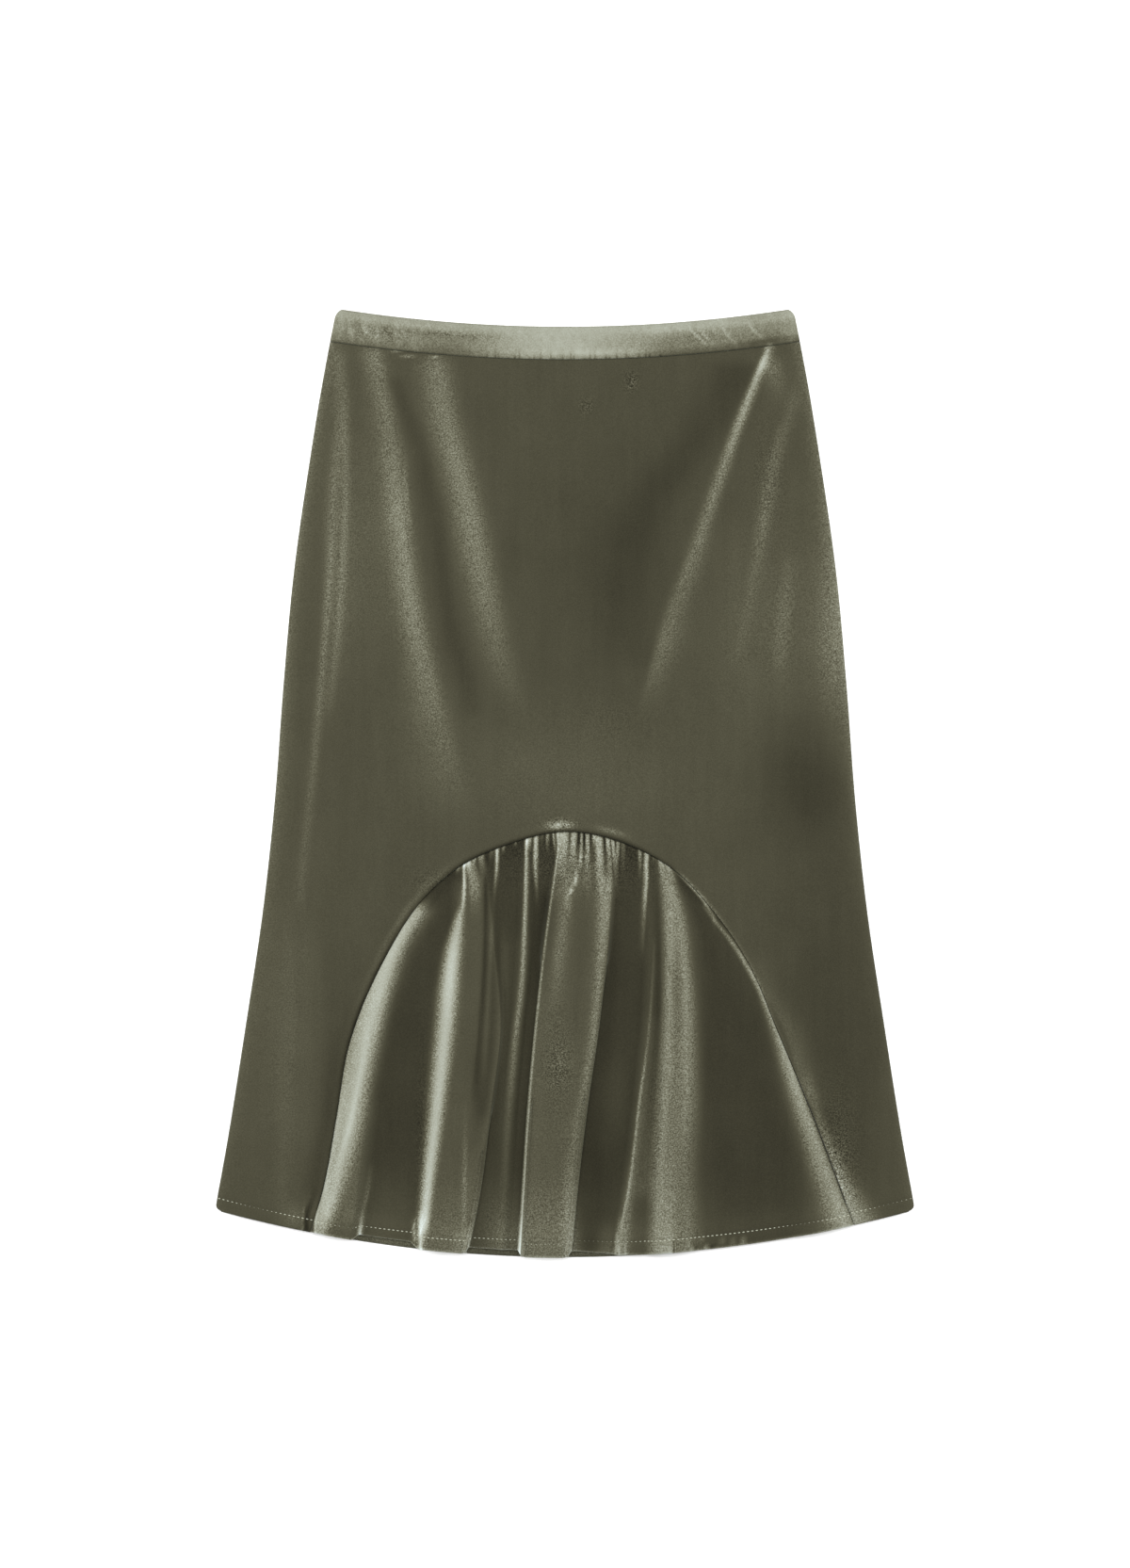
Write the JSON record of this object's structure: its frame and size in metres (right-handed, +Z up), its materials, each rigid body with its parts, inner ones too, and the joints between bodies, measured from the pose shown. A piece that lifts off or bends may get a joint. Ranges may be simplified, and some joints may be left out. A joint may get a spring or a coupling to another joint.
{
  "type": "mermaid fishtail skirt",
  "caption": "Midi skirt in stretch velvet, laid flat, with an elastic waistband and a gathered godet set into an arch at the front hem so that it flares like a fishtail.",
  "frame": {"origin": "middle of the skirt's outline, on the surface that it lies on", "axes": "+Y from the hem to the waist, +X to the right seen from above with the waist at the top, +Z up from the surface, out of the front of the skirt"},
  "size_m": [0.5158, 0.704, 0.0151],
  "materials": {
    "panel_velvet": "dark olive stretch velvet, pile down, soft pale sheen on the folds",
    "godet_velvet": "olive stretch velvet with strong pale sheen along its pleats",
    "back_velvet": "dark olive stretch velvet",
    "band_velvet": "light sage velvet with the pile reversed, over elastic"
  },
  "bodies": {
    "root": {"front_panel": "panel_velvet", "godet": "godet_velvet", "back_panel": "back_velvet", "waistband_front": "band_velvet", "waistband_back": "band_velvet"}
  },
  "joints": []
}
